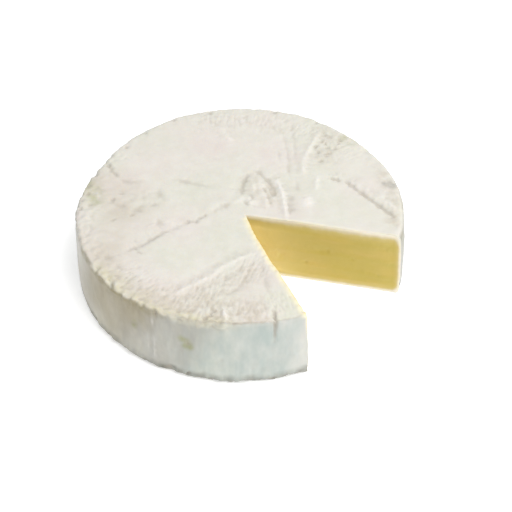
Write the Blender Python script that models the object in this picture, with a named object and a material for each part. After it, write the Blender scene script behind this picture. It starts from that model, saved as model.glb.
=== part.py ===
"""A small wheel of soft white-rind cheese with one wedge cut out of it.

Metres, +Z up. The wheel rests on its flat base at z = 0 with the Z axis through the middle
of its outline. It is one solid: a disc of triangles opened along the two cuts, whose edge
is extruded down as the rounded rim and as the two cut faces, and closed by a flat base.
"""

from math import atan2, cos, degrees, exp, floor, hypot, pi, radians, sin, tan

import bmesh
import bpy
from mathutils import Vector, noise

MM = 0.001

# Driving dimensions.
WHEEL_RADIUS = 0.086
WHEEL_HEIGHT = 0.041
TOP_ROUNDING = 0.0032
BASE_ROUNDING = 0.0030
SIDE_BULGE = 0.0006
NOTCH_TIP = Vector((0.0026, -0.0026))
CUT_RIGHT = radians(-17.9)
CUT_FRONT = radians(-72.1)
CUT_BULGE = 0.0007

# How finely the surface is divided, and how near two shares count as the same.
SAME = 1e-4
SECTORS = 5
RINGS = 26
ROUNDING_STEPS = 3
SIDE_STEPS = 4

# Where the outline is pressed in: azimuth and half width in degrees, depth in metres.
FLAT_SPOTS = (
    (149, 16, 0.0026),
    (121, 16, 0.0009),
    (36, 18, 0.0010),
    (345, 18, 0.0010),
)

# Folds (negative height) and ridges of the rind on top: points, half width and height, in mm.
TOP_STROKES = {
    "long fold": (((-71, -28), (-53, -21), (-27, -5), (-2, 9)), 2.6, -1.1),
    "step to the long fold": (((-43, 28), (-38, 11), (-42, -10)), 2.6, -0.6),
    "fold at the left rim": (((-68, 48), (-58, 30)), 2.6, -0.9),
    "arch, left leg": (((8, 30), (2, 18), (5, 9)), 2.4, -0.8),
    "arch, right leg": (((11, 30), (19, 14), (21, 1)), 2.4, -0.9),
    "ridge beside the arch": (((22, 22), (24, 8), (23, -6)), 2.2, 0.9),
    "right fold": (((50, 22), (64, 9), (80, -14)), 2.4, -1.0),
    "ridge along the right fold": (((69, 9), (85, -11)), 2.2, 0.6),
    "front ridge": (((-29, -53), (-17, -45), (-5, -38)), 2.6, 0.8),
    "back ridge": (((47, 58), (38, 42), (34, 25)), 2.8, 0.8),
    "back valley": (((30, 12), (31, 60)), 5.0, -0.6),
    "front fold": (((10, -70), (11, -88)), 2.4, -1.0),
}

# Rough patches on top: centre, reach and bump height, in mm.
ROUGH_PATCHES = (
    ((53, 48), 13, 0.8),
    ((13, 10), 9, 0.6),
    ((-60, 6), 12, 0.4),
)

# Ribbed stretches of the rim: first and last azimuth in degrees, width and height, in mm.
RIBBED_RIMS = (
    (212, 287, 22, 0.8),
    (35, 97, 18, 0.7),
    (140, 178, 12, 0.6),
)

# Marks on the side: azimuth in degrees, height, half width and half length in mm, depth in mm.
SIDE_MARKS = {
    "upright crease": (234.5, 27, 2.4, 13, -0.8),
    "front crease": (277, 36, 2.6, 9, -1.0),
    "stained dent": (247, 25, 3.6, 4, -0.9),
    "small dent": (227, 26, 3.0, 3, -0.6),
    "low dent": (240, 6, 3.2, 3, -0.6),
}

# The low waves of the whole surface: height, and wave lengths on top, on the side and round
# the outline (as a share of the radius).
UNDULATION = 0.0005
TOP_WAVE = 0.030
SIDE_WAVE = 0.012
OUTLINE_WAVE = 0.45

# The bumps of a rough patch, and the ribs that run in from the rim.
BUMP_PITCH = 0.0050
RIB_PITCH = 0.0055
RIB_LENGTH = 0.014
RIB_END_FADE = 6

# Where the bulge of the cut faces starts and ends, from the notch's tip, and how deep under
# the top edge a cut face still follows the rind's relief.
BULGE_START = (0.004, 0.020)
BULGE_END = (0.070, 0.084)
RELIEF_DEPTH = 0.008

RIND_COLOUR = (0.80, 0.77, 0.69, 1.0)
RIND_ROUGHNESS = 0.85


def remove_all_objects():
    for obj in list(bpy.data.objects):
        bpy.data.objects.remove(obj, do_unlink=True)


def smooth_bump(distance, half_width):
    """1 on the middle line, falling smoothly to 0 about two half widths away."""
    return exp(-((distance / half_width) ** 2))


def fade(value, start, end):
    """0 up to start, 1 from end on, and a smooth ramp between them."""
    t = min(max((value - start) / (end - start), 0.0), 1.0)
    return t * t * (3.0 - 2.0 * t)


def angle_between(azimuth, middle):
    """Signed difference of two azimuths in degrees, from -180 to 180."""
    return (azimuth - middle + 180.0) % 360.0 - 180.0


def distance_to_stroke(point, stroke):
    """Shortest distance from a point to a line through the stroke's points, all in mm."""
    nearest = 1e9
    for start, end in zip(stroke, stroke[1:]):
        start, end = Vector(start), Vector(end)
        along = end - start
        t = min(max((point - start).dot(along) / along.length_squared, 0.0), 1.0)
        nearest = min(nearest, (point - start - along * t).length)
    return nearest


def outline_radius(azimuth):
    """Radius of the uneven outline at an azimuth in degrees."""
    radius = WHEEL_RADIUS
    for middle, half_width, depth in FLAT_SPOTS:
        radius -= depth * smooth_bump(angle_between(azimuth, middle), half_width)
    around = Vector((cos(radians(azimuth)), sin(radians(azimuth)), 0.0))
    return radius + UNDULATION * noise.noise(around / OUTLINE_WAVE)


def reach_from_tip(direction):
    """Distance from the notch's tip to the outline along a direction in radians."""
    heading = Vector((cos(direction), sin(direction)))
    reach = WHEEL_RADIUS
    for _ in range(4):
        point = NOTCH_TIP + heading * reach
        reach += outline_radius(degrees(atan2(point.y, point.x))) - point.length
    return reach


def top_relief(x, y):
    """Height of the rind's relief over the flat top."""
    point = Vector((x, y)) / MM
    height = UNDULATION * noise.noise(Vector((x, y, 0.0)) / TOP_WAVE)
    for points, half_width, rise in TOP_STROKES.values():
        height += rise * MM * smooth_bump(distance_to_stroke(point, points), half_width)

    bump = noise.noise(Vector((x, y, WHEEL_HEIGHT)) / BUMP_PITCH)
    for centre, reach, rise in ROUGH_PATCHES:
        height += rise * MM * bump * smooth_bump((point - Vector(centre)).length, reach)

    azimuth = degrees(atan2(y, x))
    distance = hypot(x, y)
    round_the_rim = radians(azimuth) * WHEEL_RADIUS
    rib = noise.noise(Vector((round_the_rim / RIB_PITCH, distance / RIB_LENGTH, 0.5)))
    for first, last, width, rise in RIBBED_RIMS:
        middle, half = (first + last) / 2, (last - first) / 2
        off_middle = abs(angle_between(azimuth, middle))
        inside = 1.0 - fade(off_middle, half - RIB_END_FADE, half + RIB_END_FADE)
        near_rim = fade(distance, WHEEL_RADIUS - width * MM, WHEEL_RADIUS - width * MM / 2)
        height += rise * MM * rib * inside * near_rim
    return height


def side_relief(azimuth, z):
    """Outward relief of the side wall at an azimuth in degrees and a height."""
    bulge = SIDE_BULGE * sin(pi * z / WHEEL_HEIGHT)
    heading = Vector((cos(radians(azimuth)), sin(radians(azimuth)), 0.0)) * WHEEL_RADIUS
    wave = UNDULATION * noise.noise((heading + Vector((0.0, 0.0, z))) / SIDE_WAVE)
    marks = 0.0
    for middle, height, half_width, half_length, rise in SIDE_MARKS.values():
        across = radians(angle_between(azimuth, middle)) * WHEEL_RADIUS / MM / half_width
        along = (z / MM - height) / half_length
        marks += rise * MM * smooth_bump(hypot(across, along), 1.0)
    return bulge + wave + marks


def cut_bulge(distance, z):
    """How far the soft paste stands out of the cut's plane, nothing at its edges."""
    along = fade(distance, *BULGE_START) * (1.0 - fade(distance, *BULGE_END))
    return CUT_BULGE * along * sin(pi * z / WHEEL_HEIGHT)


def fan_turn(co):
    """Angle in degrees of a fan point from the fan's first corner, which lies at 30 degrees."""
    return (degrees(atan2(co.y, co.x)) - 30.0) % 360.0


def open_fan(bm):
    """Five sectors of a six-sided disc, each a grid of equal triangles."""
    bmesh.ops.create_circle(bm, cap_ends=True, cap_tris=True, segments=6, radius=1.0)
    gap = [face for face in bm.faces if fan_turn(face.calc_center_median()) > 300]
    bmesh.ops.delete(bm, geom=gap, context="FACES")
    bmesh.ops.subdivide_edges(bm, edges=bm.edges[:], cuts=RINGS - 1, use_grid_fill=True)


def fan_place(co):
    """Ring (0 at the tip, 1 at the rim) and sweep (0 and 1 at the two cuts) of a fan vertex."""
    turn = fan_turn(co)
    if turn > 330 or hypot(co.x, co.y) < SAME:
        turn = 0.0
    sector = min(floor(turn / 60 + SAME), SECTORS - 1)
    inside = radians(turn - sector * 60 - 30)
    ring = hypot(co.x, co.y) * cos(inside) / cos(radians(30))
    sweep = (sector + (tan(inside) / tan(radians(30)) + 1) / 2) / SECTORS
    return ring, sweep


def sweep_direction(sweep):
    """Heading from the notch's tip, from the right cut round the back to the front cut."""
    return CUT_RIGHT + sweep * (2 * pi + CUT_FRONT - CUT_RIGHT)


def rim_stations():
    """The rim from top to base: inset from the outline, height, and turn from up to outward."""
    stations = []
    for i in range(1, ROUNDING_STEPS + 1):
        turn = pi / 2 * i / ROUNDING_STEPS
        height = WHEEL_HEIGHT - TOP_ROUNDING * (1 - cos(turn))
        stations.append((TOP_ROUNDING * (1 - sin(turn)), height, turn))
    span = WHEEL_HEIGHT - TOP_ROUNDING - BASE_ROUNDING
    for i in range(1, SIDE_STEPS + 1):
        stations.append((0.0, WHEEL_HEIGHT - TOP_ROUNDING - span * i / SIDE_STEPS, pi / 2))
    for i in range(1, ROUNDING_STEPS + 1):
        turn = pi / 2 * i / ROUNDING_STEPS
        stations.append((BASE_ROUNDING * (1 - cos(turn)), BASE_ROUNDING * (1 - sin(turn)), pi / 2 - turn))
    return stations


def inner_point(flat, z, outward, distance):
    """A point of the top or of a cut face; outward is the cut's normal, or zero on top."""
    flat = flat + outward * cut_bulge(distance, z)
    lift = top_relief(*flat) * fade(z, WHEEL_HEIGHT - RELIEF_DEPTH, WHEEL_HEIGHT)
    return Vector((flat.x, flat.y, z + lift))


def rim_point(flat, z, turn):
    """A point of the rounded rim, whose turn goes from 0, facing up, to a right angle, facing out."""
    azimuth = degrees(atan2(flat.y, flat.x))
    flat = flat + flat.normalized() * side_relief(azimuth, z) * sin(turn)
    lift = top_relief(*flat) * cos(turn) if z > WHEEL_HEIGHT / 2 else 0.0
    return Vector((flat.x, flat.y, z + lift))


def wheel_point(ring, sweep, inset, z, turn):
    """World place of a vertex from its place in the fan and its station on the rim."""
    direction = sweep_direction(sweep)
    heading = Vector((cos(direction), sin(direction)))
    reach = reach_from_tip(direction)
    flat = NOTCH_TIP + heading * ring * (reach - inset)
    if ring > 1.0 - SAME:
        return rim_point(flat, z, turn)
    outward = Vector((0.0, 0.0))
    if sweep < SAME:
        outward = Vector((heading.y, -heading.x))
    elif sweep > 1.0 - SAME:
        outward = Vector((-heading.y, heading.x))
    return inner_point(flat, z, outward, ring * reach)


def extrude_rim(bm, places):
    """Takes the fan's edge down over the rim and the cuts, one station at a time."""
    edge_loop = [edge for edge in bm.edges if edge.is_boundary]
    for station in rim_stations():
        above = {vert for edge in edge_loop for vert in edge.verts}
        extruded = bmesh.ops.extrude_edge_only(bm, edges=edge_loop)["geom"]
        edge_loop = [item for item in extruded if isinstance(item, bmesh.types.BMEdge)]
        for vert in [item for item in extruded if isinstance(item, bmesh.types.BMVert)]:
            neighbours = [edge.other_vert(vert) for edge in vert.link_edges]
            places[vert] = next(places[other] for other in neighbours if other in above)
            vert.co = wheel_point(*places[vert], *station)
    return edge_loop


def stand_on_origin(bm):
    """Moves the wheel so that the origin is the middle of its box, on the base."""
    low = [min(vert.co[axis] for vert in bm.verts) for axis in range(3)]
    high = [max(vert.co[axis] for vert in bm.verts) for axis in range(3)]
    middle = (Vector(low) + Vector(high)) / 2
    bmesh.ops.translate(bm, verts=bm.verts[:], vec=(-middle.x, -middle.y, -low[2]))


def build_wheel():
    bm = bmesh.new()
    open_fan(bm)
    places = {vert: fan_place(vert.co) for vert in bm.verts}
    for vert, (ring, sweep) in places.items():
        vert.co = wheel_point(ring, sweep, TOP_ROUNDING, WHEEL_HEIGHT, 0.0)
    base_loop = extrude_rim(bm, places)
    bmesh.ops.contextual_create(bm, geom=base_loop)
    bmesh.ops.recalc_face_normals(bm, faces=bm.faces[:])
    stand_on_origin(bm)

    mesh = bpy.data.meshes.new("brie_wheel")
    bm.to_mesh(mesh)
    bm.free()
    return mesh


def rind_material():
    material = bpy.data.materials.new("white_rind")
    material.use_nodes = True
    shader = material.node_tree.nodes["Principled BSDF"]
    shader.inputs["Base Color"].default_value = RIND_COLOUR
    shader.inputs["Roughness"].default_value = RIND_ROUGHNESS
    shader.inputs["Metallic"].default_value = 0.0
    return material


def main():
    remove_all_objects()
    collection = bpy.data.collections.new("brie")
    bpy.context.scene.collection.children.link(collection)
    mesh = build_wheel()
    mesh.shade_smooth()
    mesh.set_sharp_from_angle(angle=radians(40))
    mesh.materials.append(rind_material())
    collection.objects.link(bpy.data.objects.new("brie_wheel", mesh))


main()
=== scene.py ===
import random
from math import cos, pi, radians, sin

import bmesh
import bpy
import numpy as np
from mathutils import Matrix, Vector, noise


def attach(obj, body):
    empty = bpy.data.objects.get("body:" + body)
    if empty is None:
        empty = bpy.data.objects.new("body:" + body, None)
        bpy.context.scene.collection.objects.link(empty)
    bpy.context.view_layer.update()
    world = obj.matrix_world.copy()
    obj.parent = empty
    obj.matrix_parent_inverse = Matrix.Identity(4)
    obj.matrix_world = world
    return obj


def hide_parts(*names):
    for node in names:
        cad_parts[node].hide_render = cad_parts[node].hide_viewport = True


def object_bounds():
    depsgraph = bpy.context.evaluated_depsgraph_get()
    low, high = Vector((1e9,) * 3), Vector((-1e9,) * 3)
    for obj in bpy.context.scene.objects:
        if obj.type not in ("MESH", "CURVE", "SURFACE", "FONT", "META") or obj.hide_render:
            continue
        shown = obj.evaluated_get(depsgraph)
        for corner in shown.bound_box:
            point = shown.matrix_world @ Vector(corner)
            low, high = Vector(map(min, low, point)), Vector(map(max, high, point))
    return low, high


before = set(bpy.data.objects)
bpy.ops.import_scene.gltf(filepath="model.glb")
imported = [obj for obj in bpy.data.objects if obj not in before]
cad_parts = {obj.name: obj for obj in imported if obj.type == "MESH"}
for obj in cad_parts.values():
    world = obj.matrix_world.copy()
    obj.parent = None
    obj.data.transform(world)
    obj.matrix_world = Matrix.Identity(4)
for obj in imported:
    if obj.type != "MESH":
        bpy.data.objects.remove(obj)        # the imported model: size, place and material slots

cadLow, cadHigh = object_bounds()
mm = 0.001


# helpers for meshes

def onlyActive(piece):
    bpy.ops.object.select_all(action="DESELECT")
    piece.select_set(True)
    bpy.context.view_layer.objects.active = piece


def applyModifier(piece, kind, **settings):
    modifier = piece.modifiers.new(kind.lower(), kind)
    for key, value in settings.items():
        setattr(modifier, key, value)
    onlyActive(piece)
    bpy.ops.object.modifier_apply(modifier=modifier.name)


def readValues(source, key, kind=float):
    values = np.zeros(len(source), dtype=kind)
    source.foreach_get(key, values)
    return values


def readVectors(source, key):
    values = np.zeros(len(source) * 3)
    source.foreach_get(key, values)
    return values.reshape(-1, 3)


def readCoords(piece):
    return readVectors(piece.data.vertices, "co")


def writeCoords(piece, coords):
    piece.data.vertices.foreach_set("co", coords.ravel())
    piece.data.update()


def storeAttribute(piece, name, values):
    attribute = piece.data.attributes.new(name, "FLOAT", "POINT")
    attribute.data.foreach_set("value", np.asarray(values, dtype=np.float32))


def readAttribute(piece, name):
    return readValues(piece.data.attributes[name].data, "value", np.float32)


# sRGB 0 to 255 as the linear colour that a node wants
def tone(red, green, blue):
    linear = [((c / 255 + 0.055) / 1.055) ** 2.4 for c in (red, green, blue)]
    return (*linear, 1.0)


# unit vector in plan for a turn in degrees
def toward(turn):
    return np.array((cos(radians(turn)), sin(radians(turn))))


# 0 up to start and 1 from end on, smooth between them
def ease(value, start, end):
    t = np.clip((value - start) / (end - start), 0.0, 1.0)
    return t * t * (3.0 - 2.0 * t)


# 1 at nought, falling off on both sides
def bell(value):
    return np.exp(-(value**2))


# an uneven wave between -1 and 1
def wobble(along, pitch, phase):
    slow = np.sin(2 * pi * along / pitch + phase)
    quick = np.sin(2 * pi * along / (0.53 * pitch) + 1.7 * phase)
    return 0.6 * slow + 0.4 * quick


# the wheel: a fan of five sectors with its edge taken down, then shaped

wheelShape = {
    "radius": 0.086,
    "height": 0.041,
    "topRounding": 2.4 * mm,
    "baseRounding": 2.6 * mm,
    # arcs: start and end in degrees, then how far they ease out before and after
    "baseWander": 2.4 * mm,        # the base edge wavers, most on one arc and least on the other
    "basePitch": 7.0 * mm,
    "wavyArc": (240, 290, 12, 20),
    "calmArc": (180, 232, 20, 10),
    "rimWander": 1.4 * mm,         # beads on the rim, more of them on this arc
    "rimPitch": 3.6 * mm,
    "beadedArc": (200, 262, 12, 20),
    "scallops": 0.6 * mm,
    "scallopPitch": 4.4 * mm,
    "sideBulge": 0.6 * mm,
    "frontLean": 1.3 * mm,         # the side leans in towards the top on this arc
    "leaningArc": (250, 290, 18, 20),
    "tip": (0.0026, -0.0026),      # where the two cuts meet
    "cuts": (-17.9, -72.1),        # their directions from the tip, in degrees
    "cutBulge": 0.8 * mm,          # soft paste swells out of the cut
    # the front cut runs a little hollow: way from the tip and how far back, in mm
    "frontCutBack": ((0, 0.2), (6, 0.6), (14, 1.5), (24, 1.9), (36, 1.9), (50, 1.6), (84, 0.8)),
    "backFade": 22 * mm,           # the rind beside it follows up to this far in
    "tipReach": 6 * mm,
    "tipLightReach": 24 * mm,          # painted light: the paste is a little brighter this near the tip, in the notch's corner
    "ripening": (1.6, 2.6),        # its colour deepens this much faster from the base and the side
    "cutEdgeDrop": 0.25 * mm,      # the rind's cut edge is a little rounded
    "cutEdgeInset": 0.12 * mm,
    "fanCuts": (9, 12),            # two rounds of subdivision give 130 rings
    "rows": (6, 46, 5),            # rows down the top rounding, the side and the base rounding
    # turn, half width and change in mm, of the outline and of the rim's rounding
    "flatSpots": ((149, 15, -1.9), (121, 16, -0.6), (36, 18, -0.9), (345, 18, -0.5)),
    "softRims": ((150, 30, 0.9), (95, 40, 0.6), (15, 30, 0.8), (266, 30, -0.9)),
    "outlinePitch": 39 * mm,
    "outlineWander": 0.5 * mm,
}
wheelTop = wheelShape["height"]
rowCount = sum(wheelShape["rows"])
sectorCount = 5
sectorTurn = 60.0
firstCorner = 30.0
same = 1e-4


# angle round the fan from its first corner, which may come out as a full turn
def fanTurn(x, y):
    turn = (np.degrees(np.arctan2(y, x)) - firstCorner) % 360.0
    return np.where((turn > 330) | (np.hypot(x, y) < same), 0.0, turn)


def spotSum(azimuth, spots):
    total = np.zeros_like(azimuth)
    for middle, halfWidth, change in spots:
        off = (azimuth - middle + 180.0) % 360.0 - 180.0
        total += change * mm * bell(off / halfWidth)
    return total


# 1 between start and end, easing to 0 beyond them
def arcBand(azimuth, start, end, softStart, softEnd):
    return ease(azimuth, start - softStart, start) * (1 - ease(azimuth, end, end + softEnd))


# an uneven wave round the wheel, between -1 and 1; each layer is another wave
def ringNoise(azimuth, pitch, layer):
    steps = np.arange(0.0, 360.0, 0.5)
    reach = wheelShape["radius"] / pitch
    wander = []
    for step in steps:
        wander.append(noise.noise(Vector((*reach * toward(step), layer))))
    return np.interp(azimuth, steps, wander, period=360.0)


def outlineRadius(azimuth):
    uneven = wheelShape["outlineWander"] * ringNoise(azimuth, wheelShape["outlinePitch"], 0.0)
    return wheelShape["radius"] + spotSum(azimuth, wheelShape["flatSpots"]) + uneven


# an open fan in the flat, with its edge taken straight down, one unit a row
def makeFan():
    bpy.ops.object.select_all(action="DESELECT")
    bpy.ops.mesh.primitive_circle_add(vertices=6, radius=1.0, fill_type="TRIFAN", location=(0, 0, 0))
    wheel = bpy.context.active_object
    wheel.name = "brieWheel"
    bpy.ops.object.mode_set(mode="EDIT")
    bpy.ops.mesh.select_all(action="DESELECT")
    bpy.ops.mesh.select_mode(type="FACE")
    sheet = bmesh.from_edit_mesh(wheel.data)
    for face in sheet.faces:
        middle = face.calc_center_median()
        face.select_set(bool(fanTurn(middle.x, middle.y) > sectorCount * sectorTurn))
    bmesh.update_edit_mesh(wheel.data)
    bpy.ops.mesh.delete(type="FACE")

    bpy.ops.mesh.select_mode(type="EDGE")
    for cuts in wheelShape["fanCuts"]:
        bpy.ops.mesh.select_all(action="SELECT")
        bpy.ops.mesh.subdivide(number_cuts=cuts)

    bpy.ops.mesh.select_all(action="SELECT")
    bpy.ops.mesh.region_to_loop()
    for row in range(rowCount):
        bpy.ops.mesh.extrude_region_move(TRANSFORM_OT_translate={"value": (0, 0, -1)})
    bpy.ops.mesh.edge_face_add()
    bpy.ops.mesh.select_all(action="SELECT")
    bpy.ops.mesh.normals_make_consistent(inside=False)
    bpy.ops.object.mode_set(mode="OBJECT")
    return wheel


# the flat fan becomes the wheel: outline, roundings, side, cuts
def shapeWheel(wheel):
    shape = wheelShape
    flat = readCoords(wheel)
    x, y = flat[:, 0], flat[:, 1]
    row = np.rint(-flat[:, 2])
    turn = fanTurn(x, y)
    halfTurn = radians(sectorTurn / 2)
    sector = np.clip(np.floor(turn / sectorTurn + same), 0, sectorCount - 1)
    inside = np.radians(turn - sector * sectorTurn - sectorTurn / 2)
    ring = np.hypot(x, y) * np.cos(inside) / cos(halfTurn)
    sweep = (sector + (np.tan(inside) / np.tan(halfTurn) + 1) / 2) / sectorCount
    onRim = ring > 1 - same
    onEnds = (sweep < same) | (sweep > 1 - same)
    onRightCut = (sweep < same) & ~onRim
    onCut = onEnds & ~onRim

    edgeDrop = shape["cutEdgeDrop"]
    firstCut, lastCut = shape["cuts"]
    direction = np.radians(firstCut + sweep * (360 + lastCut - firstCut))
    heading = np.stack([np.cos(direction), np.sin(direction)], axis=1)
    tip = np.array(shape["tip"])
    reach = np.full(len(x), shape["radius"])
    for _ in range(4):
        point = tip + heading * reach[:, None]
        azimuth = np.degrees(np.arctan2(point[:, 1], point[:, 0]))
        reach += outlineRadius(azimuth) - np.hypot(point[:, 0], point[:, 1])

    # heights and insets of each row
    topRows, sideRows, baseRows = shape["rows"]
    roundTurn = azimuth % 360
    beaded = 0.4 + 0.6 * arcBand(roundTurn, *shape["beadedArc"])
    topRound = shape["topRounding"] + spotSum(azimuth, shape["softRims"])
    topRound += shape["rimWander"] * ringNoise(azimuth, shape["rimPitch"], 3.0) * beaded
    topRound = np.maximum(topRound, edgeDrop * 2)
    wavy = 0.5 - 0.4 * arcBand(roundTurn, *shape["calmArc"])
    wavy = np.maximum(wavy, arcBand(roundTurn, *shape["wavyArc"]))
    waves = shape["baseWander"] * ringNoise(azimuth, shape["basePitch"], 5.0) * wavy
    baseRound = np.maximum(shape["baseRounding"] + waves, edgeDrop * 2)
    topTurn = pi / 2 * np.minimum(row, topRows) / topRows
    sideShare = np.clip((row - topRows) / sideRows, 0, 1)
    baseTurn = pi / 2 * np.clip((row - topRows - sideRows) / baseRows, 0, 1)
    drop = topRound * (1 - np.cos(topTurn))
    cutDrop = edgeDrop + (topRound - edgeDrop) * np.minimum(row, topRows) / topRows
    drop = np.where(onCut, cutDrop, drop)
    z = wheelTop - drop - sideShare * (wheelTop - topRound - baseRound)
    z = np.where(row == rowCount, 0.0, z - baseRound * np.sin(baseTurn))
    inset = topRound * (1 - np.sin(topTurn)) + baseRound * (1 - np.cos(baseTurn))

    bulge = shape["sideBulge"] * np.sin(pi * z / wheelTop) * np.sin(topTurn)
    scallop = shape["scallops"] * ringNoise(azimuth, shape["scallopPitch"], 9.0) * beaded
    bulge += scallop * np.exp(-(wheelTop - z) / shape["scallopPitch"])
    lean = shape["frontLean"] * arcBand(roundTurn, *shape["leaningArc"])
    bulge -= lean * ease(z, 0.2 * wheelTop, wheelTop)
    distance = np.where(onRim, reach - inset + bulge, ring * (reach - topRound - lean))
    plan = tip + heading * distance[:, None]

    # the cut faces swell a little between rind and rind, and their top edge is rounded
    across = np.where(onRightCut[:, None], heading[:, ::-1] * (1, -1), heading[:, ::-1] * (-1, 1))
    under = wheelTop - z
    swell = ease(under, 1.2 * mm, 7 * mm) * ease(z, 1 * mm, 7 * mm)
    swell *= ease(distance, 3 * mm, 18 * mm) * ease(reach - distance, 2 * mm, 10 * mm)
    out = shape["cutBulge"] * swell - shape["cutEdgeInset"] * (row == 0)
    plan += across * (out * onCut)[:, None]

    # the front cut and the rind beside it lie a little back from the straight
    ahead = toward(lastCut)
    outward = np.array((-ahead[1], ahead[0]))
    lengthwise = (plan - tip) @ ahead
    inward = -((plan - tip) @ outward)
    back = mm * np.interp(lengthwise / mm, *np.transpose(shape["frontCutBack"]))
    nearCut = np.maximum(ease(sweep, 0.6, 0.85), bell(distance / shape["tipReach"]))
    back *= (1 - ease(inward, 0, shape["backFade"])) * nearCut
    plan -= outward * back[:, None]

    writeCoords(wheel, np.column_stack([plan, z]))
    fromBase, fromSide = shape["ripening"]
    depth = np.minimum(np.minimum(under, fromBase * z), fromSide * np.maximum(reach - distance, 0))
    storeAttribute(wheel, "rindDepth", np.where(onCut, depth, 0.0) / mm)
    storeAttribute(wheel, "nearTip", bell(distance / shape["tipLightReach"]))
    storeAttribute(wheel, "cutFace", onEnds.astype(float))


print("modelling the wheel")
wheel = makeFan()
shapeWheel(wheel)
print("wheel has", len(wheel.data.vertices), "vertices")


# strokes that follow a line over the rind, in mm: on top by x and y, on the side by turn and height

# a rounded line through the points, a little uneven as a fold is
def roundedLine(points, wander, draw, steps=6):
    points = [np.array(point, dtype=float) for point in points]
    padded = [points[0], *points, points[-1]]
    line = []
    for before, start, end, after in zip(padded, padded[1:], padded[2:], padded[3:]):
        for i in range(steps):
            t = i / steps
            ahead = (end - before) * 0.5
            behind = (after - start) * 0.5
            place = start * (2 * t**3 - 3 * t**2 + 1) + ahead * (t**3 - 2 * t**2 + t)
            place = place + end * (3 * t**2 - 2 * t**3) + behind * (t**3 - t**2)
            line.append(place + np.array([draw.gauss(0, wander), draw.gauss(0, wander)]))
    line.append(points[-1])
    return line


# the gap to the line, the side of it and the way along it, for each spot
def followLine(spots, line):
    gap = np.full(len(spots), 1e6)
    side = np.zeros(len(spots))
    along = np.zeros(len(spots))
    length = 0.0
    for start, end in zip(line, line[1:]):
        run = end - start
        reach = np.hypot(*run)
        if reach < 1e-6:
            continue
        share = np.clip((spots - start) @ run / reach**2, 0, 1)
        off = spots - start - share[:, None] * run
        away = np.hypot(off[:, 0], off[:, 1])
        nearer = away < gap
        gap[nearer] = away[nearer]
        side[nearer] = np.sign(run[0] * off[:, 1] - run[1] * off[:, 0])[nearer]
        along[nearer] = (length + share * reach)[nearer]
        length += reach
    return gap, side, along, length


# what a stroke has where its own entry says nothing
plainMark = {
    "broad": 0.25,       # share of its height that spreads to three times its width
    "lip": 0.0,          # height of the edge on the left of the line
    "shade": 0.0,        # above 0 paints shade into a fold, under 0 whitens as thick bloom with a painted highlight
    "fade": 4,           # length of its tapering ends
    "uneven": 0.3,       # how much it swells and thins, and over what length
    "pitch": 9,
    "wander": 0.25,      # how far it strays from the line
}


# height change and shade of one kind of stroke
def stroke(spots, mark, draw):
    mark = {**plainMark, **mark}
    lift = np.zeros(len(spots))
    shade = np.zeros(len(spots))
    width = mark["width"]
    for points in mark["lines"]:
        line = roundedLine(points, mark["wander"], draw)
        low = np.min(line, axis=0) - 6 * width
        high = np.max(line, axis=0) + 6 * width
        close = np.flatnonzero(((spots > low) & (spots < high)).all(axis=1))
        gap, side, along, length = followLine(spots[close], line)
        phase = draw.uniform(0, 2 * pi)
        fade = min(mark["fade"], length / 2.5)
        strength = ease(along, -0.3 * fade, fade) * ease(length - along, -0.3 * fade, fade)
        strength *= 1 + mark["uneven"] * wobble(along, mark["pitch"], phase)
        wide = width * (1 + 0.3 * wobble(along, 7.0, phase + 2))
        core = bell(gap / wide) * strength
        broad = bell(gap / (3 * wide)) * strength
        lip = bell((gap * side - 2.2 * wide) / (1.7 * wide)) * strength
        lift[close] += mark["height"] * (core + mark["broad"] * broad) + mark["lip"] * lip
        tint = core * mark["shade"]
        shade[close] = np.where(np.abs(tint) > np.abs(shade[close]), tint, shade[close])
    return lift, shade


# shade above 0 paints shade into folds, pits, notches and dents; under 0 whitens ridges as thick bloom
# with a painted highlight
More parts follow.
